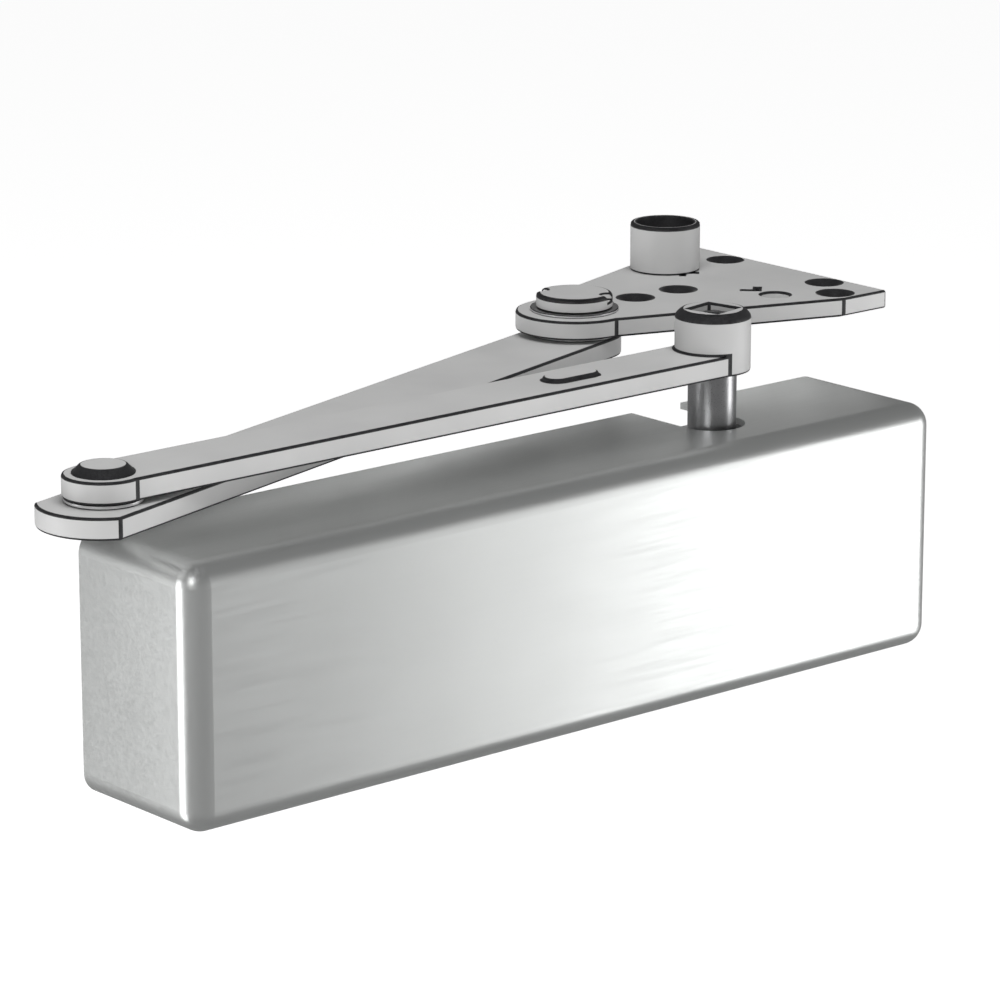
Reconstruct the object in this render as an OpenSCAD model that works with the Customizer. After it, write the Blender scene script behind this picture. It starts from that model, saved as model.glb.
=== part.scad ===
// Surface-mounted door closer with a box cover and an extra-duty parallel arm.
//
// Frame: the origin is the centre of the four door-screw holes, on the mounting plane.
// +X runs along the cover, +Y points into the door and +Z points up the spindle.
// The arm rests folded: the elbow lies over the left end and the shoe behind the spindle.

/* [Cover] */
// Length of the cover along the door
cover_l = 311; // [305:1:330]
// Height of the cover
cover_h = 84; // [84:1:96]
// Depth of the cover, from the door to its front
cover_d = 57; // [57:1:70]
// Radius on every outer edge of the cover
cover_r = 7.5; // [5:0.5:9]
// Wall thickness of the cover
cover_wall = 2.2; // [1.8:0.1:2.4]
// Gap between the rim of the cover and the door
cover_gap = 1; // [0.5:0.5:2]

/* [Closer body] */
// Door-screw spacing along the door
screw_dx = 279.4; // [276:0.1:281]
// Door-screw spacing up the door
screw_dz = 19.05; // [16:0.05:24]
// Diameter of each door-screw hole
screw_d = 7.2; // [6:0.1:8]
// Diameter of the hydraulic bore
bore_d = 38.1; // [36:0.1:39]
// Outer diameter of the hydraulic tube
tube_d = 48; // [47:0.5:50]
// Distance from the door to the axis of the bore
bore_y = 28; // [27:0.5:29]
// Length of the hydraulic tube
tube_l = 258; // [256:1:260]

/* [Spindle and pinion] */
// Distance of the spindle from the middle of the cover
spindle_x = 80; // [76:1:81]
// Diameter of the spindle
spindle_d = 16; // [15:0.5:16]
// Size of the square drive across its flats
square_af = 12; // [11:0.5:12]
// Gear module of the pinion and of the rack
tooth_module = 1.5; // [1.5:0.1:1.5]
// Number of pinion teeth
pinion_teeth = 10; // [10:1:10]
// Angle between the square drive and the main arm
square_turn = 11; // [0:1:45]

/* [Main arm] */
// Height of the arm's underside above the cover
arm_lift = 18; // [17:0.5:24]
// Distance between the spindle and the elbow
arm_l = 245; // [235:1:255]
// Width of the main arm
arm_w = 25; // [22:1:28]
// Thickness of the main arm
arm_t = 7; // [6:0.5:8]
// Height of the hub above the arm
hub_rise = 13.5; // [12:0.5:16]

/* [Forearm] */
// Distance between the elbow and the shoe pivot
forearm_l = 262; // [255:1:270]
// Width of the forearm
forearm_w = 32; // [28:1:34]
// Thickness of the forearm
forearm_t = 7; // [6:0.5:7]
// Angle between the two arms at rest
fold_angle = 16.6; // [14:0.1:30]

/* [Shoe] */
// Distance from the shoe pivot to the straight edge of the plate
shoe_l = 102; // [98:1:110]
// Width of the plate along its straight edge
shoe_w = 95; // [94:1:110]
// Thickness of the plate
shoe_t = 6.5; // [6:0.5:8]
// Radius of the round end at the pivot
shoe_r = 20; // [18:0.5:21]
// Height of the spacer on the plate
spacer_h = 17; // [14:1:20]
// Outer diameter of the spacer
spacer_d = 24.5; // [23:0.5:25]
// Height of the cap over the shoe pivot
cap_h = 5; // [4:0.5:6]

/* [Fits] */
// Radial clearance of pins, pistons and valve screws that turn or slide
running_gap = 0.04; // [0.02:0.01:0.08]
// Gap between flat faces of pieces that move past each other
face_gap = 0.1; // [0.1:0.05:0.2]

/* [Hidden] */
$fn = 64;

// Colours
cover_colour = [0.78, 0.79, 0.78];
iron_colour = [0.30, 0.31, 0.33];
steel_colour = [0.62, 0.63, 0.65];
arm_colour = [0.79, 0.79, 0.79];
bronze_colour = [0.70, 0.52, 0.28];
rubber_colour = [0.09, 0.09, 0.10];
dial_colour = [0.15, 0.33, 0.20];

// Closer body
foot_t = 6;              // thickness of the foot against the door
foot_h = 46;             // height of the foot
lug_end = 8.3;           // metal beyond each door-screw hole
web_h = 38;              // height of the metal between the foot and the tube
cap_t = 8;               // thickness of the threaded end caps
boss_d = 36;             // diameter of the spindle bosses
boss_top = 36;           // height of the spindle bosses above the bore's axis
bearing_d = 24;
bearing_h = 9;
bearing_low = 21.5;      // nearest face of a spindle bearing to the bore's axis
seal_h = 3;
filler_x = 20;
filler_d = 8;
filler_boss = [18, 4];   // diameter of the filler boss and its height above the tube

// Valve screws: each block stands on the tube beside the right end
valve_d = 8;
valve_l = 17;
valve_z = 28;            // height of the upper valves above the bore's axis
valve_front = 45;        // distance from the door to the valves' outer ends
valve_xs = [108, 121];
valve_block_w = 13;

// Rack and pinion
pressure_angle = 25;
pitch_r = tooth_module * pinion_teeth / 2;
addendum = 0.8 * tooth_module;
dedendum = 1.0 * tooth_module;
backlash = 0.12;
gear_h = 18;
gear_tip_r = pitch_r + addendum;
rack_pitch = PI * tooth_module;
spindle_swing = 150;     // degrees from the door closed to the door wide open
piston_travel = spindle_swing * PI / 180 * pitch_r;

// Piston: its window leaves room for the pinion over the whole travel
window_gap = 1;
window_x0 = spindle_x - gear_tip_r - window_gap;
window_x1 = spindle_x + gear_tip_r + piston_travel + window_gap;
piston_x0 = window_x0 - 15;
piston_x1 = window_x1 + 9;

// Spring and its adjustment
spring_wire = 6.4;
spring_mean_r = 13.4;
spring_turns = 11;
seat_t = 10;
seat_x0 = -tube_l / 2 + cap_t + 12;
spring_x0 = seat_x0 + seat_t;
power_d = 8;

// Arms: heights are measured along the spindle from the frame's origin
arm_z = cover_h / 2 + arm_lift;
washer_t = 1.4;
lower_washer_t = 1;
rivet_h = 2;
forearm_z = arm_z - washer_t - face_gap - forearm_t;
rivet_z = forearm_z - face_gap - lower_washer_t - rivet_h;
hub_d = 25;
hub_chamfer = 2;         // bevel round the hub's top
arm_crease = 0.5;        // how far the arm's sides stand inside its round ends
hub_web_z = arm_z + 11;
hub_web_t = 2.5;
elbow_pin_d = 10;
elbow_end_r = 20.5;
stud_d = 12;
cap_d = 26;
bush_wall = 2;
elbow_x = spindle_x - arm_l;
pivot_x = elbow_x + forearm_l * cos(fold_angle);
pivot_y = -bore_y + forearm_l * sin(fold_angle);

// Shoe: hole places are measured from the pivot
shoe_hole_d = 6.8;
shoe_sink_d = 12;
spacer_hole_d = 10;
centre_holes = [28, 48];
outer_pair = [94, 25];
corner_pair = [85, 39.5];
spacer_pair = [67.5, 28];
shoe_side = 20.5;        // length of each short side next to the plate's straight edge
shoe_crease = 1.5;       // how far the long edges stand inside the round end
mark_l = 6;              // length of each stroke of the stamped arrowheads
mark_w = 1.6;
mark_t = 1.2;

// ---------------------------------------------------------------- shared shapes

// A cylinder along X that starts at x
module bar_x(x, length, d) {
    translate([x, 0, 0])
        rotate([0, 90, 0])
            cylinder(d = d, h = length);
}

// Moves its children to the bore's axis
module on_bore() {
    translate([0, -bore_y, 0])
        children();
}

// Moves its children to the spindle's axis, with heights left as they are
module on_spindle() {
    translate([spindle_x, -bore_y, 0])
        children();
}

module on_elbow() {
    translate([elbow_x, -bore_y, 0])
        children();
}

// Leaves its children on the right, or mirrors them to the left
module on_side(side) {
    mirror([side < 0 ? 1 : 0, 0, 0])
        children();
}

module on_pivot() {
    translate([pivot_x, pivot_y, 0])
        children();
}

// A flat ring that stands on z
module ring(z, height, outer_d, inner_d) {
    translate([0, 0, z])
        difference() {
            cylinder(d = outer_d, h = height);
            translate([0, 0, -1])
                cylinder(d = inner_d, h = height + 2);
        }
}

// A disc that stands on z with a chamfer round its upper edge
module chamfered_disc(z, height, d, chamfer) {
    translate([0, 0, z]) {
        cylinder(d = d, h = height - chamfer);
        translate([0, 0, height - chamfer])
            cylinder(d1 = d, d2 = d - 2 * chamfer, h = chamfer);
    }
}

// A hexagonal socket that is open at its upper end, height z
module hex_socket(z, across_flats, depth) {
    translate([0, 0, z - depth])
        cylinder(d = across_flats / cos(30), h = depth + 1, $fn = 6);
}

// A rubber ring about Z
module rubber_ring(outer_d, section_d) {
    rotate_extrude()
        translate([outer_d / 2 - section_d / 2, 0])
            circle(d = section_d, $fn = 24);
}

// ---------------------------------------------------------------- cover

// A box from the plane y = 0 forwards, rounded on its four front edges and four side edges
module rounded_case(length, depth, height, r) {
    inner_l = length - 2 * r;
    inner_h = height - 2 * r;
    translate([-inner_l / 2, -depth, -inner_h / 2])
        cube([inner_l, depth, inner_h]);
    translate([-length / 2, -depth + r, -inner_h / 2])
        cube([length, depth - r, inner_h]);
    translate([-inner_l / 2, -depth + r, -height / 2])
        cube([inner_l, depth - r, height]);
    for (z = [-inner_h / 2, inner_h / 2])
        translate([0, -depth + r, z])
            bar_x(-inner_l / 2, inner_l, 2 * r);
    for (x = [-inner_l / 2, inner_l / 2]) {
        translate([x, -depth + r, -inner_h / 2])
            cylinder(r = r, h = inner_h);
        for (z = [-inner_h / 2, inner_h / 2]) {
            translate([x, -depth + r, z])
                sphere(r = r);
            translate([x, 0, z])
                rotate([90, 0, 0])
                    cylinder(r = r, h = depth - r);
        }
    }
}

// The slot in the top wall that lets the spindle pass as the cover slides off
module spindle_slot() {
    slot_w = spindle_d + 6;
    translate([0, 0, cover_h / 2 - cover_wall - 1]) {
        cylinder(d = slot_w, h = cover_wall + 2);
        translate([-slot_w / 2, 0, 0])
            cube([slot_w, bore_y + 1, cover_wall + 2]);
    }
}

module cover() {
    inner_l = cover_l - 2 * cover_wall;
    inner_h = cover_h - 2 * cover_wall;
    rib_t = 2;
    color(cover_colour) {
        difference() {
            translate([0, -cover_gap, 0])
                rounded_case(cover_l, cover_d - cover_gap, cover_h, cover_r);
            translate([0, 1, 0])
                rounded_case(inner_l, cover_d - cover_wall + 1, inner_h, cover_r - cover_wall);
            on_spindle()
                spindle_slot();
        }
        // Stiffening ribs inside the front wall, above and below the tube
        for (x = [-100, -50, 0, 45])
            for (side = [-1, 1])
                translate([x - rib_t / 2, -cover_d + cover_wall, side * (inner_h / 2 - 6) - 6])
                    cube([rib_t, 8, 12]);
    }
}

module cover_clips() {
    clip_h = 6;
    strip_t = 1;
    lug_x = screw_dx / 2 + lug_end;
    bulge_r = cover_l / 2 - cover_wall - lug_x - strip_t - 0.4;
    color(steel_colour)
        for (side = [-1, 1])
            on_side(side) {
                translate([lug_x, -16, -clip_h / 2])
                    cube([strip_t, 15, clip_h]);
                translate([lug_x - 6, -foot_t - strip_t, -clip_h / 2])
                    cube([6 + strip_t, strip_t, clip_h]);
                translate([lug_x + strip_t, -12, -clip_h / 2])
                    intersection() {
                        cylinder(r = bulge_r, h = clip_h);
                        translate([0, -bulge_r, 0])
                            cube([bulge_r, 2 * bulge_r, clip_h]);
                    }
            }
}

// ---------------------------------------------------------------- closer body

module foot() {
    foot_l = screw_dx + 2 * lug_end;
    translate([-foot_l / 2, -foot_t, -foot_h / 2])
        cube([foot_l, foot_t, foot_h]);
    translate([-tube_l / 2, -bore_y, -web_h / 2])
        cube([tube_l, bore_y, web_h]);
}

module valve_block(z_sign, xs) {
    x0 = xs[0] - valve_block_w / 2;
    length = xs[len(xs) - 1] - xs[0] + valve_block_w;
    z0 = z_sign > 0 ? 0 : -valve_z - valve_block_w / 2;
    translate([x0, -valve_front - 1, z0])
        cube([length, valve_front - 12, valve_z + valve_block_w / 2]);
}

module valve_hole(x, z) {
    translate([x, -valve_front - 2, z])
        rotate([-90, 0, 0])
            cylinder(d = valve_d + 2 * running_gap, h = valve_l + 3);
}

module spindle_bores() {
    // Passage for the pinion, then a pocket for each bearing
    translate([0, 0, -bearing_low])
        cylinder(r = gear_tip_r + 0.6, h = 2 * bearing_low);
    for (z_sign = [-1, 1])
        mirror([0, 0, z_sign < 0 ? 1 : 0])
            translate([0, 0, bearing_low])
                cylinder(d = bearing_d, h = boss_top);
}

module closer_body() {
    color(iron_colour)
        difference() {
            union() {
                foot();
                on_bore()
                    bar_x(-tube_l / 2, tube_l, tube_d);
                on_spindle()
                    translate([0, 0, -boss_top])
                        cylinder(d = boss_d, h = 2 * boss_top);
                valve_block(1, valve_xs);
                valve_block(-1, [valve_xs[0]]);
                translate([filler_x, -bore_y, 0])
                    cylinder(d = filler_boss[0], h = tube_d / 2 + filler_boss[1]);
            }
            on_bore()
                bar_x(-tube_l / 2 - 1, tube_l + 2, bore_d);
            on_spindle()
                spindle_bores();
            for (x = valve_xs)
                valve_hole(x, valve_z);
            valve_hole(valve_xs[0], -valve_z);
            translate([filler_x, -bore_y, 0])
                cylinder(d = filler_d, h = tube_d);
            for (x = [-1, 1])
                for (z = [-1, 1])
                    translate([x * screw_dx / 2, 1, z * screw_dz / 2])
                        rotate([90, 0, 0])
                            cylinder(d = screw_d, h = foot_t + 2);
        }
}

// A threaded cap that fills one end of the bore, with a groove for its seal
module end_cap(hole_d) {
    groove_d = bore_d - 5;
    difference() {
        union() {
            bar_x(0, cap_t, bore_d);
            bar_x(-1.5, 1.5, bore_d + 4);
        }
        translate([3.5, 0, 0])
            rotate([0, 90, 0])
                difference() {
                    cylinder(d = bore_d + 1, h = 3);
                    translate([0, 0, -1])
                        cylinder(d = groove_d, h = 5);
                }
        if (hole_d > 0)
            bar_x(-3, cap_t + 6, hole_d);
        else
            for (side = [-1, 1])
                translate([0, side * 11, 0])
                    bar_x(-3, 5, 4);
    }
}

module spring_end_cap() {
    color(steel_colour)
        on_bore()
            translate([-tube_l / 2, 0, 0])
                end_cap(power_d + 2 * running_gap);
}

module piston_end_cap() {
    color(steel_colour)
        on_bore()
            translate([tube_l / 2, 0, 0])
                mirror([1, 0, 0])
                    end_cap(0);
}

module end_cap_seals() {
    color(rubber_colour)
        on_bore()
            for (side = [-1, 1])
                on_side(side)
                    translate([tube_l / 2 - 5, 0, 0])
                        rotate([0, 90, 0])
                            rubber_ring(bore_d, 2.5);
}

module filler_plug() {
    head_h = 2.5;
    foot_z = bore_d / 2 + 1;
    head_z = tube_d / 2 + filler_boss[1];
    color(steel_colour)
        translate([filler_x, -bore_y, 0])
            difference() {
                union() {
                    translate([0, 0, foot_z])
                        cylinder(d = filler_d, h = head_z - foot_z);
                    translate([0, 0, head_z])
                        cylinder(d = 12, h = head_h);
                }
                hex_socket(head_z + head_h, 4, 3);
            }
}

// ---------------------------------------------------------------- spring and adjustment

module power_screw() {
    head_h = 5;
    color(steel_colour)
        on_bore()
            translate([-tube_l / 2, 0, 0])
                difference() {
                    union() {
                        bar_x(-1.6 - face_gap - head_h, head_h, 14);
                        bar_x(-2, seat_t + cap_t + 28, power_d);
                        bar_x(cap_t + face_gap, 3, 13);
                    }
                    translate([-1.6 - head_h, 0, 0])
                        rotate([0, -90, 0])
                            hex_socket(0, 8, 4);
                }
}

// A ratchet ring on the cap that marks how far the power screw has been turned
module power_dial() {
    color(dial_colour)
        on_bore()
            translate([-tube_l / 2 - 3.5, 0, 0])
                rotate([0, 90, 0])
                    difference() {
                        cylinder(d = 30, h = 2);
                        translate([0, 0, -1])
                            cylinder(d = 15, h = 4);
                        for (turn = [0:30:330])
                            rotate(turn)
                                translate([15, 0, -1])
                                    cylinder(d = 2.4, h = 4, $fn = 24);
                    }
}

module spring_seat() {
    color(steel_colour)
        on_bore()
            difference() {
                union() {
                    bar_x(seat_x0, seat_t, bore_d - 1.2);
                    bar_x(spring_x0, 6, 2 * spring_mean_r - spring_wire - 1);
                }
                bar_x(seat_x0 - 1, seat_t + 10, power_d + 2 * running_gap);
            }
}

// Points of one ring of the spring's wire, at a share of the way along the coil
function wire_ring(share, sides) =
    let (
        angle = 360 * spring_turns * share,
        length = piston_x0 - spring_x0 - spring_wire,
        x = spring_x0 + spring_wire / 2 + length * share
    )
    [for (side = [0:sides - 1])
        let (r = spring_mean_r + spring_wire / 2 * cos(360 * side / sides))
        [x + spring_wire / 2 * sin(360 * side / sides), r * cos(angle), r * sin(angle)]];

module main_spring() {
    sides = 8;
    steps = spring_turns * 16;
    points = [for (i = [0:steps]) each wire_ring(i / steps, sides)];
    walls = [for (i = [0:steps - 1]) for (side = [0:sides - 1])
        let (next = (side + 1) % sides)
        [i * sides + side, i * sides + next, (i + 1) * sides + next, (i + 1) * sides + side]];
    first_end = [for (side = [sides - 1:-1:0]) side];
    last_end = [for (side = [0:sides - 1]) steps * sides + side];
    color(steel_colour)
        on_bore()
            polyhedron(points, concat([first_end], walls, [last_end]), convexity = 10);
}

// ---------------------------------------------------------------- piston

// One tooth of the rack, which points to the pinion along -Y from the pitch line
module rack_tooth() {
    half_pitch = rack_pitch / 4 - backlash / 4;
    tip_half = half_pitch - addendum * tan(pressure_angle);
    root_half = half_pitch + dedendum * tan(pressure_angle);
    polygon([[-root_half, dedendum], [root_half, dedendum],
        [tip_half, -addendum], [-tip_half, -addendum]]);
}

// Rack teeth beside the pinion at rest and over the travel: a gap faces the pinion's tooth
module rack_teeth() {
    count = floor((window_x1 - spindle_x) / rack_pitch);
    translate([spindle_x, pitch_r, -gear_h / 2])
        linear_extrude(gear_h)
            for (i = [-2:count - 1])
                translate([(i + 0.5) * rack_pitch, 0])
                    rack_tooth();
}

module piston() {
    rack_back = pitch_r + dedendum;
    window_y0 = -gear_tip_r - 0.8;
    color(steel_colour)
        on_bore() {
            difference() {
                bar_x(piston_x0, piston_x1 - piston_x0, bore_d - 2 * running_gap);
                translate([window_x0, window_y0, -bore_d])
                    cube([window_x1 - window_x0, rack_back - window_y0 - 0.01, 2 * bore_d]);
                // Pocket and passage of the check valve in the spring-side head
                bar_x(piston_x0 - 1, 9, 12);
                bar_x(piston_x0, 20, 4);
                // Passage in the other head
                bar_x(window_x1 - 1, 20, 4);
            }
            intersection() {
                rack_teeth();
                translate([window_x0, -bore_d, -bore_d])
                    cube([window_x1 - window_x0, 2 * bore_d, 2 * bore_d]);
            }
        }
}

module check_valve_ball() {
    color(steel_colour)
        on_bore()
            translate([piston_x0 + 8 - 3.2, 0, 0])
                sphere(d = 6);
}

module check_valve_retainer() {
    color(bronze_colour)
        on_bore()
            difference() {
                bar_x(piston_x0, 1.6, 12);
                bar_x(piston_x0 - 1, 4, 3);
            }
}

// ---------------------------------------------------------------- spindle and bearings

function involute(angle) = tan(angle) - angle * PI / 180;

// Half the angle that a tooth takes up at radius r
function tooth_half_angle(r) =
    let (
        base_r = pitch_r * cos(pressure_angle),
        roll = acos(base_r / max(r, base_r)),
        at_pitch = (PI * tooth_module / 2 - backlash / 2) / 2 / pitch_r
    )
    (at_pitch + involute(pressure_angle) - involute(roll)) * 180 / PI;

module pinion_outline() {
    root_r = pitch_r - dedendum;
    base_r = pitch_r * cos(pressure_angle);
    flank = [root_r, for (i = [0:4]) base_r + (gear_tip_r - base_r) * i / 4];
    side = [for (r = flank) [r, tooth_half_angle(r)]];
    tooth = concat(
        [for (p = side) [p[0] * cos(-p[1]), p[0] * sin(-p[1])]],
        [for (i = [len(side) - 1:-1:0]) [side[i][0] * cos(side[i][1]), side[i][0] * sin(side[i][1])]]);
    circle(r = root_r + 0.05, $fn = 64);
    for (i = [0:pinion_teeth - 1])
        rotate(90 + i * 360 / pinion_teeth)
            polygon(tooth);
}

module pinion_spindle() {
    low_end = -bearing_low - bearing_h;
    square_top = hub_web_z - 0.5;
    color(steel_colour)
        on_spindle()
            difference() {
                union() {
                    translate([0, 0, -gear_h / 2])
                        linear_extrude(gear_h)
                            pinion_outline();
                    translate([0, 0, low_end])
                        cylinder(d = spindle_d, h = -low_end - gear_h / 2);
                    translate([0, 0, gear_h / 2])
                        cylinder(d = spindle_d, h = arm_z - gear_h / 2);
                    intersection() {
                        translate([0, 0, arm_z - 1])
                            cylinder(d = spindle_d, h = square_top - arm_z + 1);
                        rotate(square_turn)
                            translate([-square_af / 2, -square_af / 2, arm_z - 2])
                                cube([square_af, square_af, square_top - arm_z + 3]);
                    }
                }
                translate([0, 0, square_top - 16])
                    cylinder(d = 6, h = 17);
            }
}

module bearing(z) {
    color(bronze_colour)
        on_spindle()
            ring(z, bearing_h, bearing_d, spindle_d + 2 * running_gap);
}

module upper_bearing() {
    bearing(bearing_low);
}

module lower_bearing() {
    bearing(-bearing_low - bearing_h);
}

module spindle_seal() {
    color(rubber_colour)
        on_spindle()
            ring(bearing_low + bearing_h, seal_h, bearing_d, spindle_d + 2 * running_gap);
}

module bearing_nut() {
    thread_z = bearing_low + bearing_h + seal_h;
    color(steel_colour)
        on_spindle()
            difference() {
                union() {
                    translate([0, 0, thread_z])
                        cylinder(d = bearing_d, h = boss_top - thread_z);
                    translate([0, 0, boss_top])
                        cylinder(d = 32, h = 2.4, $fn = 6);
                }
                translate([0, 0, thread_z - 1])
                    cylinder(d = spindle_d + 0.6, h = 10);
            }
}

module lower_plug() {
    plug_z = bearing_low + bearing_h + 0.2;
    color(steel_colour)
        on_spindle()
            mirror([0, 0, 1])
                difference() {
                    union() {
                        translate([0, 0, plug_z])
                            cylinder(d = bearing_d, h = boss_top - plug_z);
                        translate([0, 0, boss_top])
                            cylinder(d = 30, h = 2.4);
                    }
                    hex_socket(boss_top + 2.4, 8, 4);
                }
}

// ---------------------------------------------------------------- valve screws

// Moves its children so that their +Z points out of the front at one valve hole
module on_valve(x, z) {
    translate([x, -valve_front, z])
        rotate([90, 0, 0])
            children();
}

module valve_screw(x, z) {
    groove_z = -5.4;
    color(bronze_colour)
        on_valve(x, z)
            difference() {
                union() {
                    translate([0, 0, -valve_l + 4])
                        cylinder(d = valve_d, h = valve_l - 4);
                    translate([0, 0, -valve_l])
                        cylinder(d1 = 2, d2 = 6, h = 4);
                }
                hex_socket(0, 3, 3);
                translate([0, 0, groove_z])
                    difference() {
                        cylinder(d = valve_d + 1, h = 2);
                        translate([0, 0, -1])
                            cylinder(d = valve_d - 3.2, h = 4);
                    }
            }
}

module valve_seal(x, z) {
    color(rubber_colour)
        on_valve(x, z)
            translate([0, 0, -4.4])
                rubber_ring(valve_d, 1.6);
}

module sweep_valve() {
    valve_screw(valve_xs[0], valve_z);
}

module sweep_valve_seal() {
    valve_seal(valve_xs[0], valve_z);
}

module latch_valve() {
    valve_screw(valve_xs[1], valve_z);
}

module latch_valve_seal() {
    valve_seal(valve_xs[1], valve_z);
}

module backcheck_valve() {
    valve_screw(valve_xs[0], -valve_z);
}

module backcheck_valve_seal() {
    valve_seal(valve_xs[0], -valve_z);
}

// ---------------------------------------------------------------- main arm

// A flat bar from the origin along X, with its sides set in by a crease at each round end
module round_bar(length, width, thickness, crease) {
    translate([0, crease - width / 2, 0])
        cube([length, width - 2 * crease, thickness]);
    for (x = [0, length])
        translate([x, 0, 0])
            cylinder(d = width, h = thickness);
}

module square_socket(z, depth) {
    across = square_af + 2 * running_gap;
    rotate(square_turn)
        translate([-across / 2, -across / 2, z])
            cube([across, across, depth]);
}

module main_arm() {
    hub_top = arm_z + arm_t + hub_rise;
    pad_x = -68;
    pad_l = 12;
    pad_w = 9;
    pad_rise = 1.3;
    color(arm_colour)
        difference() {
            union() {
                on_elbow()
                    translate([0, 0, arm_z])
                        round_bar(arm_l, arm_w, arm_t, arm_crease);
                on_spindle()
                    chamfered_disc(arm_z, arm_t + hub_rise, hub_d, hub_chamfer);
                // A plain oval pad in low relief, beside the hub
                on_spindle()
                    translate([pad_x, 0, arm_z + arm_t - 1])
                        round_bar(pad_l, pad_w, pad_rise + 1, 0);
            }
            on_spindle() {
                square_socket(arm_z - 1, hub_web_z - arm_z + 1);
                square_socket(hub_web_z + hub_web_t, hub_top);
                translate([0, 0, arm_z])
                    cylinder(d = 6.6, h = hub_top);
            }
            on_elbow()
                translate([0, 0, arm_z - 1])
                    cylinder(d = elbow_pin_d + 0.02, h = arm_t + 2);
        }
}

module arm_lock_washer() {
    color(steel_colour)
        on_spindle()
            difference() {
                ring(hub_web_z + hub_web_t, 1.6, 11.4, 6.4);
                translate([0, -0.6, hub_web_z])
                    cube([10, 1.2, 10]);
            }
}

module arm_screw() {
    head_z = hub_web_z + hub_web_t + 1.6;
    color(steel_colour)
        on_spindle()
            difference() {
                union() {
                    chamfered_disc(head_z, 3.8, 10.4, 0.8);
                    translate([0, 0, head_z - 17])
                        cylinder(d = 5.9, h = 17.5);
                }
                hex_socket(head_z + 3.8, 4, 2.6);
            }
}

// ---------------------------------------------------------------- elbow

module elbow_pin() {
    head_z = arm_z + arm_t;
    color(steel_colour)
        on_elbow() {
            translate([0, 0, rivet_z])
                cylinder(d = 15, h = rivet_h);
            translate([0, 0, rivet_z + rivet_h])
                cylinder(d = elbow_pin_d, h = head_z - rivet_z - rivet_h);
            chamfered_disc(head_z, 2.6, 19, 2.4);
        }
}

module elbow_washer() {
    color(steel_colour)
        on_elbow()
            ring(arm_z - washer_t, washer_t, 24, elbow_pin_d + 0.02);
}

module elbow_lower_washer() {
    color(steel_colour)
        on_elbow()
            ring(rivet_z + rivet_h, lower_washer_t, 20, elbow_pin_d + 0.02);
}

// A plain sleeve pressed into the forearm
module arm_bush(pin_d) {
    color(bronze_colour)
        ring(forearm_z, forearm_t, pin_d + 2 * bush_wall, pin_d + 2 * running_gap);
}

module elbow_bush() {
    on_elbow()
        arm_bush(elbow_pin_d);
}

// ---------------------------------------------------------------- forearm

module forearm() {
    color(arm_colour)
        on_elbow()
            rotate(fold_angle)
                translate([0, 0, forearm_z])
                    difference() {
                        union() {
                            translate([0, -forearm_w / 2, 0])
                                cube([forearm_l, forearm_w, forearm_t]);
                            translate([forearm_l, 0, 0])
                                cylinder(d = forearm_w, h = forearm_t);
                            intersection() {
                                cylinder(r = elbow_end_r, h = forearm_t);
                                translate([-elbow_end_r, -forearm_w / 2, 0])
                                    cube([elbow_end_r, forearm_w, forearm_t]);
                            }
                        }
                        translate([0, 0, -1])
                            cylinder(d = elbow_pin_d + 2 * bush_wall, h = forearm_t + 2);
                        translate([forearm_l, 0, -1])
                            cylinder(d = stud_d + 2 * bush_wall, h = forearm_t + 2);
                    }
}

module shoe_bush() {
    on_pivot()
        arm_bush(stud_d);
}

// ---------------------------------------------------------------- shoe

module shoe_washer() {
    color(steel_colour)
        on_pivot()
            ring(arm_z - washer_t, washer_t, 32, stud_d + 0.02);
}

module shoe_lower_washer() {
    color(steel_colour)
        on_pivot()
            ring(rivet_z + rivet_h, lower_washer_t, 22, stud_d + 0.02);
}

module shoe_stud() {
    top_z = arm_z + shoe_t + lower_washer_t + 2.5;
    color(steel_colour)
        on_pivot() {
            translate([0, 0, rivet_z])
                cylinder(d = 17, h = rivet_h);
            translate([0, 0, rivet_z + rivet_h])
                cylinder(d = stud_d, h = top_z - rivet_z - rivet_h);
        }
}

// Outline of the plate: a round end at the pivot, two long edges and a straight edge
module shoe_outline() {
    half_w = shoe_w / 2;
    corner_x = shoe_l - shoe_side;
    // The long edges run just inside the round end, which leaves a crease on each side
    neck_r = shoe_r - shoe_crease;
    edge_angle = atan2(half_w, corner_x) - asin(neck_r / norm([corner_x, half_w]));
    neck = neck_r * [-sin(edge_angle), cos(edge_angle)];
    union() {
        circle(r = shoe_r);
        polygon([
            [neck[0], -neck[1]],
            [corner_x, -half_w],
            [shoe_l, -half_w],
            [shoe_l, half_w],
            [corner_x, half_w],
            neck
        ]);
    }
}

// A stamped arrowhead with its tip at the origin, which points along -Y
module arrowhead() {
    for (lean = [45, 135])
        rotate(lean)
            translate([-mark_w / 2, -mark_w / 2, 0])
                cube([mark_l, mark_w, mark_t + 1]);
}

module countersunk_hole(x, y) {
    sink_h = (shoe_sink_d - shoe_hole_d) / 2;
    translate([x, y, arm_z - 1])
        cylinder(d = shoe_hole_d, h = shoe_t + 2);
    translate([x, y, arm_z + shoe_t - sink_h])
        cylinder(d1 = shoe_hole_d, d2 = shoe_sink_d, h = sink_h);
    translate([x, y, arm_z + shoe_t])
        cylinder(d = shoe_sink_d, h = 1);
}

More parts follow.
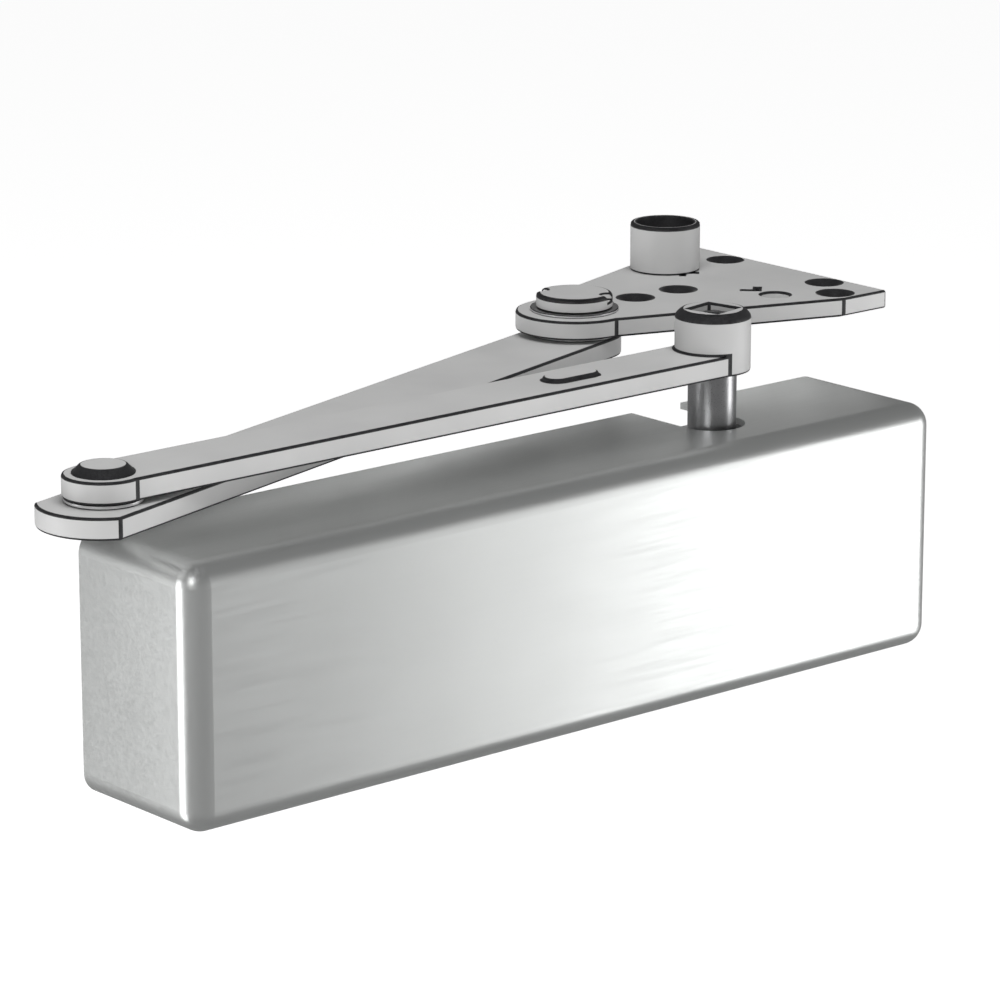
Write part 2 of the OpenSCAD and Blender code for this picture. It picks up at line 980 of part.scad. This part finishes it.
module shoe_plate() {
    mark_gap = 4;
    color(arm_colour)
        on_pivot()
            difference() {
                translate([0, 0, arm_z])
                    linear_extrude(shoe_t)
                        shoe_outline();
                translate([0, 0, arm_z - 1])
                    cylinder(d = stud_d + 0.02, h = shoe_t + 2);
                for (x = centre_holes)
                    countersunk_hole(x, 0);
                for (side = [-1, 1]) {
                    countersunk_hole(outer_pair[0], side * outer_pair[1]);
                    countersunk_hole(corner_pair[0], side * corner_pair[1]);
                    translate([spacer_pair[0], side * spacer_pair[1], arm_z - 1])
                        cylinder(d = spacer_hole_d, h = shoe_t + 2);
                    // A stamped arrowhead points at the spacer hole on each side
                    translate([spacer_pair[0], 0, arm_z + shoe_t - mark_t])
                        mirror([0, side > 0 ? 1 : 0, 0])
                            translate([0, -spacer_pair[1] + spacer_hole_d / 2 + mark_gap, 0])
                                arrowhead();
                }
            }
}

module pivot_cap_washer() {
    color(steel_colour)
        on_pivot()
            ring(arm_z + shoe_t, lower_washer_t, 30, stud_d + 0.02);
}

module pivot_cap() {
    cap_z = arm_z + shoe_t + lower_washer_t;
    color(steel_colour)
        on_pivot()
            difference() {
                chamfered_disc(cap_z, cap_h, cap_d, 0.8);
                translate([0, 0, cap_z - 1])
                    cylinder(d = stud_d + 0.02, h = 3.5);
                // Two notches for a pin spanner
                for (turn = [-60, 120])
                    rotate(turn)
                        translate([cap_d / 2 - 1, 0, cap_z + cap_h - 2.5])
                            cylinder(d = 5, h = cap_h);
            }
}

module spacer() {
    foot_z = arm_z + shoe_t;
    color(arm_colour)
        on_pivot()
            translate([spacer_pair[0], spacer_pair[1], 0])
                difference() {
                    union() {
                        chamfered_disc(foot_z, spacer_h, spacer_d, 0.6);
                        translate([0, 0, arm_z + 1.5])
                            cylinder(d = spacer_hole_d - 0.1, h = shoe_t);
                    }
                    translate([0, 0, foot_z + spacer_h - 6])
                        cylinder(d = 20, h = 7);
                    translate([0, 0, foot_z + 4])
                        cylinder(d = 10.8, h = spacer_h);
                    translate([0, 0, arm_z])
                        cylinder(d = 7, h = spacer_h + shoe_t);
                }
}

// ---------------------------------------------------------------- assembly

cover();
cover_clips();
closer_body();
spring_end_cap();
piston_end_cap();
end_cap_seals();
power_dial();
power_screw();
spring_seat();
main_spring();
piston();
check_valve_ball();
check_valve_retainer();
pinion_spindle();
upper_bearing();
lower_bearing();
spindle_seal();
bearing_nut();
lower_plug();
filler_plug();
sweep_valve();
sweep_valve_seal();
latch_valve();
latch_valve_seal();
backcheck_valve();
backcheck_valve_seal();
main_arm();
arm_screw();
arm_lock_washer();
elbow_pin();
elbow_washer();
elbow_lower_washer();
elbow_bush();
forearm();
shoe_bush();
shoe_washer();
shoe_lower_washer();
shoe_stud();
shoe_plate();
pivot_cap_washer();
pivot_cap();
spacer();
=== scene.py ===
import math

import bpy
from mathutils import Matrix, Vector


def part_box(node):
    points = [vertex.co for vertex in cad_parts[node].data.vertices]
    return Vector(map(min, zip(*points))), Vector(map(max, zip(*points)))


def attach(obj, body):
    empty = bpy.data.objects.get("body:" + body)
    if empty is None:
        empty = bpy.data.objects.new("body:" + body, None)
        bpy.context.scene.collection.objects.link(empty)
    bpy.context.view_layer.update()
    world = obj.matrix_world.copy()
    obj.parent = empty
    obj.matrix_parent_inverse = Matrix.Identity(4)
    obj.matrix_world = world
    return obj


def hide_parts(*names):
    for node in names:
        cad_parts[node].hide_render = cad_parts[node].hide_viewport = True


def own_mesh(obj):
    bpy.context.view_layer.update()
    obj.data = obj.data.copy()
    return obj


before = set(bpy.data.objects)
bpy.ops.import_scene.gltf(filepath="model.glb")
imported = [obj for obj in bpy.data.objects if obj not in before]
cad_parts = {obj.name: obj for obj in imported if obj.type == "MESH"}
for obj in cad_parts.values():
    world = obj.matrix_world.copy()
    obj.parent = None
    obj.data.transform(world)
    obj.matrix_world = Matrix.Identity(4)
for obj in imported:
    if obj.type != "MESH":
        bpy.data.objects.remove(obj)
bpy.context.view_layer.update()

COVER_LOW, COVER_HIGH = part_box("cover")

# The camera stands left of the front and a little above the arms.
CAMERA_AZIMUTH = -40.7
CAMERA_ELEVATION = 15.0
CAMERA_DISTANCE = 1.43
CAMERA_LENS = 167.4
# Distance from the left end of the cover to the point that the camera aims at
CAMERA_AIM = 0.119

FLOOR_Z = -0.35
FLOOR_SIZE = 30

# Light from the world: strength in a band centred below the horizon, and away from it.
# Heights are the upward share of a ray's direction.
BAND_CENTRE = -0.2
BAND_INNER, BAND_OUTER = 0.2, 0.6
BAND_STRENGTH, ENDS_STRENGTH = 0.21, 0.11

# The main spring, in metres. The drawn wire is a little thinner, so it stays inside the real one.
SPRING_TURNS = 11
SPRING_WIRE = 0.0064
SPRING_DRAWN_WIRE = 0.0062
SPRING_STEPS = 24
SPRING_SIDES = 16

# Greys of the painted arms, and of the painted shade along their edges and in their chamfers and bores
PAINT_DARK, PAINT_LIGHT = (0.55, 0.55, 0.548), (0.61, 0.61, 0.606)
EDGE_SHADE_DARK, EDGE_SHADE_LIGHT = (0.010, 0.010, 0.011), (0.030, 0.030, 0.032)

# Width of the dark edge on each painted piece, in metres: a painted shade line
DARK_EDGES = {"main_arm": 0.0008, "forearm": 0.0008, "shoe_plate": 0.0008, "spacer": 0.0007,
              "pivot_cap": 0.0006, "elbow_pin": 0.0004, "elbow_washer": 0.0003,
              "pivot_cap_washer": 0.00025, "shoe_washer": 0.0003}
# Width of the softened edge on each bare steel piece, in metres
SOFT_EDGES = {"arm_screw": 0.0002, "bearing_nut": 0.0003, "lower_plug": 0.0003, "filler_plug": 0.0002,
              "arm_lock_washer": 0.0001, "shoe_lower_washer": 0.0002, "elbow_lower_washer": 0.0002,
              "shoe_stud": 0.0003, "cover_clips": 0.0001}
# Radius of the spacer's recess, with a little to spare. Its walls within it get painted shade.
SPACER_BORE_R = 0.0104
# Folds sharper than this get an edge; the facets of round faces stay below it.
EDGE_ANGLE = math.radians(11.5)
EDGE_SEGMENTS = 2
# Vertices nearer than this are one vertex, and faces flatter than this are one face.
WELD_DISTANCE = 2e-6
FLAT_ANGLE = math.radians(0.6)
NORMAL_WEIGHT = 80

# Range of a noise texture between its dark and its light parts
NOISE_DARK, NOISE_LIGHT = 0.3, 0.7
# Upward share of the normal: on faces that get painted shade, on the same for the pin, and on upright
# faces
SHADED_SLOPES = (0.3, 0.93)
PIN_SHADED_SLOPES = (-0.9, 0.93)
UPRIGHT_SLOPES = (-0.5, 0.5)


# ---------------------------------------------------------------- camera, floor and light

def direction(azimuth, elevation):
    """Unit vector from the object towards a place round it. Azimuth 0 is in front of the cover."""
    a, e = math.radians(azimuth), math.radians(elevation)
    return Vector((math.sin(a) * math.cos(e), -math.cos(a) * math.cos(e), math.sin(e)))


def make_camera():
    """A long lens aimed at the upper front edge of the cover, left of its middle."""
    aim = Vector((COVER_LOW.x + CAMERA_AIM, COVER_LOW.y, COVER_HIGH.z))
    towards = direction(CAMERA_AZIMUTH, CAMERA_ELEVATION)
    camera = bpy.data.objects.new("camera", bpy.data.cameras.new("camera"))
    camera.data.lens = CAMERA_LENS
    camera.location = aim + towards * CAMERA_DISTANCE
    camera.rotation_mode = "QUATERNION"
    camera.rotation_quaternion = (-towards).to_track_quat("-Z", "Y")
    camera.data.clip_start = 0.05
    camera.data.clip_end = 50
    bpy.context.scene.collection.objects.link(camera)
    bpy.context.scene.camera = camera


def soft_light(name, place, target, size, power):
    """A rectangular area light at a place, turned to a target. The camera doesn't see it."""
    lamp = bpy.data.lights.new(name, "AREA")
    lamp.shape = "RECTANGLE"
    lamp.size, lamp.size_y = size
    lamp.energy = power
    light = bpy.data.objects.new(name, lamp)
    light.location = place
    light.rotation_mode = "QUATERNION"
    light.rotation_quaternion = (Vector(target) - Vector(place)).to_track_quat("-Z", "Y")
    light.visible_camera = False
    bpy.context.scene.collection.objects.link(light)
    return light


def make_lights():
    """Four soft lights. Places and sizes are in metres and powers in watts."""
    middle = (COVER_LOW + COVER_HIGH) / 2
    front_left = Vector((COVER_LOW.x, COVER_LOW.y, 0))
    # Gives the corner between the left side and the front its bright line
    soft_light("key", place=middle + direction(-62, 24) * 1.3, target=middle, size=(0.35, 0.6), power=2.2)
    # Stands beside the right half of the front and lights it more than the left half
    soft_light("front_fill", place=(0.74, -0.58, -0.15), target=(0.1, COVER_LOW.y, 0), size=(0.3, 0.8),
               power=2.5)
    # Gives the left side its gradient from back to front
    soft_light("side_fill", place=(-0.6, 0.2, -0.15), target=front_left, size=(0.15, 0.6), power=1.3)
    # Lights the tops of the arms. Metal doesn't mirror it, so the top of the cover stays dark.
    top = soft_light("top", place=(-0.15, -0.35, 1.2), target=(0, 0, 0.06), size=(0.9, 0.9), power=12)
    top.visible_glossy = False


def make_stage():
    """A wide pale floor well below the closer, which hangs on a door in use."""
    bpy.ops.mesh.primitive_plane_add(size=FLOOR_SIZE, location=(0, 0, FLOOR_Z))
    floor = bpy.context.object
    floor.name = "floor"
    material, tree, shader = new_material("floor_paint", (0.86, 0.86, 0.86), 0.0, 0.9)
    shader.inputs["Specular IOR Level"].default_value = 0.1
    shader.inputs["Emission Color"].default_value = (1, 1, 1, 1)
    shader.inputs["Emission Strength"].default_value = 0.85
    mottle = noise(tree, 3, 2)
    vary(tree, shader.inputs["Roughness"], mottle, 0.85, 0.95)
    floor.data.materials.append(material)
    floor.visible_glossy = False


def make_world():
    """White behind the object, and for light and reflections a pale band between darker ends."""
    world = bpy.data.worlds.new("studio")
    bpy.context.scene.world = world
    world.use_nodes = True
    tree = world.node_tree
    backdrop = tree.nodes["Background"]
    backdrop.inputs["Color"].default_value = (1, 1, 1, 1)
    backdrop.inputs["Strength"].default_value = 1.0
    room = tree.nodes.new("ShaderNodeBackground")
    room.inputs["Color"].default_value = (1, 1, 1, 1)
    place = tree.nodes.new("ShaderNodeTexCoord")
    split = tree.nodes.new("ShaderNodeSeparateXYZ")
    tree.links.new(place.outputs["Generated"], split.inputs[0])
    # Upright faces mirror the band, which is centred a little below the horizon.
    from_band = tree.nodes.new("ShaderNodeMath")
    from_band.operation = "ADD"
    from_band.inputs[1].default_value = -BAND_CENTRE
    tree.links.new(split.outputs["Z"], from_band.inputs[0])
    off_band = tree.nodes.new("ShaderNodeMath")
    off_band.operation = "ABSOLUTE"
    tree.links.new(from_band.outputs[0], off_band.inputs[0])
    band = tree.nodes.new("ShaderNodeMapRange")
    band.inputs["From Min"].default_value = BAND_INNER
    band.inputs["From Max"].default_value = BAND_OUTER
    band.inputs["To Min"].default_value = BAND_STRENGTH
    band.inputs["To Max"].default_value = ENDS_STRENGTH
    tree.links.new(off_band.outputs[0], band.inputs["Value"])
    tree.links.new(band.outputs["Result"], room.inputs["Strength"])
    rays = tree.nodes.new("ShaderNodeLightPath")
    mix = tree.nodes.new("ShaderNodeMixShader")
    tree.links.new(rays.outputs["Is Camera Ray"], mix.inputs[0])
    tree.links.new(room.outputs[0], mix.inputs[1])
    tree.links.new(backdrop.outputs[0], mix.inputs[2])
    tree.links.new(mix.outputs[0], tree.nodes["World Output"].inputs["Surface"])


# ---------------------------------------------------------------- material tools

def new_material(name, colour, metallic, roughness):
    material = bpy.data.materials.new(name)
    material.use_nodes = True
    shader = material.node_tree.nodes["Principled BSDF"]
    shader.inputs["Base Color"].default_value = (*colour, 1)
    shader.inputs["Metallic"].default_value = metallic
    shader.inputs["Roughness"].default_value = roughness
    return material, material.node_tree, shader


def object_place(tree, stretch=(1, 1, 1)):
    """Coordinates in metres that stay with the piece, stretched along each axis."""
    place = tree.nodes.new("ShaderNodeTexCoord")
    mapping = tree.nodes.new("ShaderNodeMapping")
    mapping.inputs["Scale"].default_value = stretch
    tree.links.new(place.outputs["Object"], mapping.inputs["Vector"])
    return mapping.outputs["Vector"]


def noise(tree, scale, detail, stretch=(1, 1, 1)):
    texture = tree.nodes.new("ShaderNodeTexNoise")
    texture.inputs["Scale"].default_value = scale
    texture.inputs["Detail"].default_value = detail
    tree.links.new(object_place(tree, stretch), texture.inputs["Vector"])
    return texture.outputs["Fac"]


def vary(tree, socket, factor, low, high):
    """Sets a socket between low and high as the noise goes from its dark to its light parts."""
    spread = tree.nodes.new("ShaderNodeMapRange")
    spread.inputs["From Min"].default_value = NOISE_DARK
    spread.inputs["From Max"].default_value = NOISE_LIGHT
    spread.inputs["To Min"].default_value = low
    spread.inputs["To Max"].default_value = high
    tree.links.new(factor, spread.inputs["Value"])
    tree.links.new(spread.outputs["Result"], socket)


def two_colours(tree, factor, dark, light):
    """Blends between two colours as the noise goes from its dark to its light parts."""
    ramp = tree.nodes.new("ShaderNodeValToRGB")
    first, last = ramp.color_ramp.elements
    first.position, last.position = NOISE_DARK, NOISE_LIGHT
    first.color, last.color = (*dark, 1), (*light, 1)
    tree.links.new(factor, ramp.inputs["Fac"])
    return ramp.outputs["Color"]


def bump(tree, shader, height, strength, distance):
    node = tree.nodes.new("ShaderNodeBump")
    node.inputs["Strength"].default_value = strength
    node.inputs["Distance"].default_value = distance
    tree.links.new(height, node.inputs["Height"])
    tree.links.new(node.outputs["Normal"], shader.inputs["Normal"])


def slope_mask(tree, lowest, highest):
    """1 on faces whose upward share of the normal lies between two values, otherwise 0."""
    geometry = tree.nodes.new("ShaderNodeNewGeometry")
    split = tree.nodes.new("ShaderNodeSeparateXYZ")
    tree.links.new(geometry.outputs["True Normal"], split.inputs[0])
    above = tree.nodes.new("ShaderNodeMath")
    above.operation = "GREATER_THAN"
    above.inputs[1].default_value = lowest
    below = tree.nodes.new("ShaderNodeMath")
    below.operation = "LESS_THAN"
    below.inputs[1].default_value = highest
    both = tree.nodes.new("ShaderNodeMath")
    both.operation = "MULTIPLY"
    for test, slot in ((above, 0), (below, 1)):
        tree.links.new(split.outputs["Z"], test.inputs[0])
        tree.links.new(test.outputs[0], both.inputs[slot])
    return both.outputs[0]


def bore_mask(tree, centre, radius):
    """1 on upright faces within a radius of a vertical axis, otherwise 0."""
    distance = tree.nodes.new("ShaderNodeVectorMath")
    distance.operation = "DISTANCE"
    distance.inputs[1].default_value = (centre.x, centre.y, 0)
    tree.links.new(object_place(tree, (1, 1, 0)), distance.inputs[0])
    near = tree.nodes.new("ShaderNodeMath")
    near.operation = "LESS_THAN"
    near.inputs[1].default_value = radius
    tree.links.new(distance.outputs["Value"], near.inputs[0])
    both = tree.nodes.new("ShaderNodeMath")
    both.operation = "MULTIPLY"
    tree.links.new(near.outputs[0], both.inputs[0])
    tree.links.new(slope_mask(tree, *UPRIGHT_SLOPES), both.inputs[1])
    return both.outputs[0]


def masked(tree, mask, plain, marked):
    """One colour where the mask is 0 and another where it is 1."""
    mix = tree.nodes.new("ShaderNodeMix")
    mix.data_type = "RGBA"
    tree.links.new(mask, mix.inputs["Factor"])
    tree.links.new(plain, mix.inputs["A"])
    tree.links.new(marked, mix.inputs["B"])
    return mix.outputs["Result"]


# ---------------------------------------------------------------- materials

def satin_aluminium():
    """Brushed and clear-anodised sheet: fine lines along the cover and a soft mottle."""
    material, tree, shader = new_material("satin_aluminium", (0.76, 0.775, 0.765), 0.88, 0.36)
    mottle = noise(tree, 14, 3)
    lines = noise(tree, 900, 2, (0.04, 1, 1))
    tree.links.new(two_colours(tree, mottle, (0.735, 0.75, 0.74), (0.785, 0.80, 0.79)),
                   shader.inputs["Base Color"])
    vary(tree, shader.inputs["Roughness"], lines, 0.33, 0.41)
    bump(tree, shader, lines, 0.08, 0.00005)
    return material


def arm_paint(name, shaded_slopes, bore=None):
    """Satin silver paint, with painted shade on faces whose slope lies in the given range and on the
    upright walls of a bore.
    """
    material, tree, shader = new_material(name, PAINT_LIGHT, 0.0, 0.46)
    flake = noise(tree, 2600, 2)
    mottle = noise(tree, 30, 3)
    paint = two_colours(tree, mottle, PAINT_DARK, PAINT_LIGHT)
    # The dark colour for the masked faces below is painted shade.
    steel = two_colours(tree, flake, EDGE_SHADE_DARK, EDGE_SHADE_LIGHT)
    # Sloping faces, such as chamfers and countersinks, get painted shade.
    colour = masked(tree, slope_mask(tree, *shaded_slopes), paint, steel)
    # The upright walls of a bore get painted shade too.
    if bore:
        colour = masked(tree, bore_mask(tree, *bore), colour, steel)
    tree.links.new(colour, shader.inputs["Base Color"])
    vary(tree, shader.inputs["Roughness"], flake, 0.42, 0.52)
    bump(tree, shader, flake, 0.1, 0.00004)
    return material


def painted_shade_edge():
    """Painted shade: dark lines along the edges of the painted pieces, with a fine mottle."""
    material, tree, shader = new_material("painted_shade_edge", EDGE_SHADE_DARK, 0.0, 0.5)
    edge_noise = noise(tree, 700, 3)
    tree.links.new(two_colours(tree, edge_noise, EDGE_SHADE_DARK, EDGE_SHADE_LIGHT), shader.inputs["Base Color"])
    vary(tree, shader.inputs["Roughness"], edge_noise, 0.42, 0.6)
    return material


def machined_steel(name, dark, light, roughness):
    """Bare steel with fine turned marks and a slight stain."""
    material, tree, shader = new_material(name, light, 1.0, roughness)
    marks = noise(tree, 1500, 2, (1, 1, 6))
    stain = noise(tree, 120, 3)
    tree.links.new(two_colours(tree, stain, dark, light), shader.inputs["Base Color"])
    vary(tree, shader.inputs["Roughness"], marks, roughness - 0.06, roughness + 0.08)
    bump(tree, shader, marks, 0.12, 0.00005)
    return material


def cast_iron():
    """Grey enamel over the grain of a sand casting."""
    material, tree, shader = new_material("cast_iron", (0.09, 0.095, 0.105), 0.0, 0.5)
    grain = noise(tree, 420, 5)
    patches = noise(tree, 35, 3)
    tree.links.new(two_colours(tree, patches, (0.075, 0.08, 0.088), (0.11, 0.115, 0.125)),
                   shader.inputs["Base Color"])
    vary(tree, shader.inputs["Roughness"], grain, 0.42, 0.6)
    bump(tree, shader, grain, 0.35, 0.0004)
    return material


def sintered(name, dark, light, roughness):
    """A yellow metal with a speckle of darker grains."""
    material, tree, shader = new_material(name, light, 1.0, roughness)
    speckle = noise(tree, 1800, 3)
    tree.links.new(two_colours(tree, speckle, dark, light), shader.inputs["Base Color"])
    vary(tree, shader.inputs["Roughness"], speckle, roughness + 0.1, roughness - 0.05)
    bump(tree, shader, speckle, 0.15, 0.00008)
    return material


def moulded(name, dark, light, roughness):
    """Plastic or rubber with a fine matt grain."""
    material, tree, shader = new_material(name, light, 0.0, roughness)
    grain = noise(tree, 1400, 3)
    tree.links.new(two_colours(tree, grain, dark, light), shader.inputs["Base Color"])
    vary(tree, shader.inputs["Roughness"], grain, roughness - 0.06, roughness + 0.06)
    bump(tree, shader, grain, 0.15, 0.00006)
    return material


def make_materials():
    """The material of every CAD node, by the node's name."""
    paint = arm_paint("arm_paint", SHADED_SLOPES)
    pin = arm_paint("pin_paint", PIN_SHADED_SLOPES)
    spacer_low, spacer_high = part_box("spacer")
    to_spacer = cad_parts["spacer"].matrix_world.inverted()
    spacer_middle = to_spacer @ ((spacer_low + spacer_high) / 2)
    spacer = arm_paint("spacer_paint", SHADED_SLOPES, (spacer_middle, SPACER_BORE_R))
    steel = machined_steel("machined_steel", (0.42, 0.42, 0.43), (0.56, 0.56, 0.57), 0.32)
    zinc = machined_steel("zinc_steel", (0.60, 0.60, 0.61), (0.74, 0.74, 0.74), 0.38)
    spring = machined_steel("spring_steel", (0.10, 0.10, 0.11), (0.17, 0.17, 0.18), 0.30)
    bronze = sintered("sintered_bronze", (0.28, 0.17, 0.07), (0.46, 0.30, 0.13), 0.42)
    brass = sintered("turned_brass", (0.50, 0.36, 0.14), (0.60, 0.45, 0.19), 0.28)
    rubber = moulded("seal_rubber", (0.006, 0.006, 0.007), (0.014, 0.014, 0.015), 0.62)
    dial = moulded("dial_plastic", (0.018, 0.085, 0.032), (0.024, 0.105, 0.040), 0.45)
    valves = ("sweep_valve", "latch_valve", "backcheck_valve")
    by_node = {name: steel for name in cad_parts}
    groups = (
        (satin_aluminium(), ("cover",)),
        (paint, ("main_arm", "forearm", "shoe_plate", "pivot_cap")),
        (spacer, ("spacer",)),
        (pin, ("elbow_pin",)),
        (zinc, ("elbow_washer", "pivot_cap_washer", "shoe_washer", "shoe_lower_washer",
                "elbow_lower_washer", "cover_clips", "arm_lock_washer")),
        (cast_iron(), ("closer_body",)),
        (spring, ("main_spring",)),
        (bronze, ("upper_bearing", "lower_bearing", "elbow_bush", "shoe_bush", "check_valve_retainer")),
        (brass, valves),
        (rubber, ("end_cap_seals", "spindle_seal", *(valve + "_seal" for valve in valves))),
        (dial, ("power_dial",)),
    )
    for material, names in groups:
        for name in names:
            by_node[name] = material
    return by_node


# ---------------------------------------------------------------- edges

def smooth_group():
    """A geometry group that shades every face smooth, for the normals modifier to build on."""
    group = bpy.data.node_groups.new("shade_smooth", "GeometryNodeTree")
    group.interface.new_socket("Geometry", in_out="INPUT", socket_type="NodeSocketGeometry")
    group.interface.new_socket("Geometry", in_out="OUTPUT", socket_type="NodeSocketGeometry")
    shade = group.nodes.new("GeometryNodeSetShadeSmooth")
    group.links.new(group.nodes.new("NodeGroupInput").outputs[0], shade.inputs[0])
    group.links.new(shade.outputs[0], group.nodes.new("NodeGroupOutput").inputs[0])
    return group


def add_edges(node, width, shading, edge_slot):
    """Rounds the sharp edges inwards. The rounded faces take the material in edge_slot."""
    weld = node.modifiers.new("weld", "WELD")
    weld.merge_threshold = WELD_DISTANCE
    flat = node.modifiers.new("flat", "DECIMATE")
    flat.decimate_type = "DISSOLVE"
    flat.angle_limit = FLAT_ANGLE
    edges = node.modifiers.new("edges", "BEVEL")
    edges.width = width
    edges.segments = EDGE_SEGMENTS
    edges.limit_method = "ANGLE"
    edges.angle_limit = EDGE_ANGLE
    edges.use_clamp_overlap = False
    edges.material = edge_slot
    smooth = node.modifiers.new("smooth", "NODES")
    smooth.node_group = shading
    normals = node.modifiers.new("normals", "WEIGHTED_NORMAL")
    normals.weight = NORMAL_WEIGHT
    normals.keep_sharp = False


# ---------------------------------------------------------------- main spring

def coil(name, first, last):
    """A closed stretch of the spring's wire between two shares of its length."""
    low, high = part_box("main_spring")
    centre = (low + high) / 2
    start = low.x + SPRING_WIRE / 2
    length = high.x - low.x - SPRING_WIRE
    mean_r = (high.z - low.z - SPRING_WIRE) / 2
    rings = round(SPRING_TURNS * SPRING_STEPS * (last - first))
    points, faces = [], []
    for ring in range(rings + 1):
        share = first + (last - first) * ring / rings
        turn = 2 * math.pi * SPRING_TURNS * share
        for side in range(SPRING_SIDES):
            around = 2 * math.pi * side / SPRING_SIDES
            r = mean_r + SPRING_DRAWN_WIRE / 2 * math.cos(around)
            x = start + length * share + SPRING_DRAWN_WIRE / 2 * math.sin(around)
            points.append((x, centre.y + r * math.cos(turn), centre.z + r * math.sin(turn)))
    for ring in range(rings):
        here, there = ring * SPRING_SIDES, (ring + 1) * SPRING_SIDES
        for side in range(SPRING_SIDES):
            after = (side + 1) % SPRING_SIDES
            faces.append((here + side, here + after, there + after, there + side))
    faces.append(tuple(reversed(range(SPRING_SIDES))))
    faces.append(tuple(range(rings * SPRING_SIDES, (rings + 1) * SPRING_SIDES)))
    mesh = bpy.data.meshes.new(name)
    mesh.from_pydata(points, [], faces)
    for polygon in mesh.polygons[:-2]:
        polygon.use_smooth = True
    piece = bpy.data.objects.new(name, mesh)
    bpy.context.scene.collection.objects.link(piece)
    return piece


def make_spring(material):
    """Two halves that meet in the middle."""
    for name, first, last, joint in (("spring_seat_half", 0, 0.5, "seat_slide"),
                                     ("spring_piston_half", 0.5, 1, "piston_slide")):
        piece = coil(name, first, last)
        piece.data.materials.append(material)
        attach(piece, "closer")
        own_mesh(piece)
        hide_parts("main_spring")


def main():
    make_camera()
    make_stage()
    make_world()
    make_lights()
    materials = make_materials()
    edge = painted_shade_edge()
    shading = smooth_group()
    for name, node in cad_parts.items():
        node.data.materials.clear()
        node.data.materials.append(materials[name])
        if name in DARK_EDGES:
            # The rounded edges of these pieces get painted shade lines.
            node.data.materials.append(edge)
            add_edges(node, DARK_EDGES[name], shading, 1)
        elif name in SOFT_EDGES:
            add_edges(node, SOFT_EDGES[name], shading, 0)
    make_spring(materials["main_spring"])


main()
bpy.context.scene.view_settings.view_transform = "Standard"
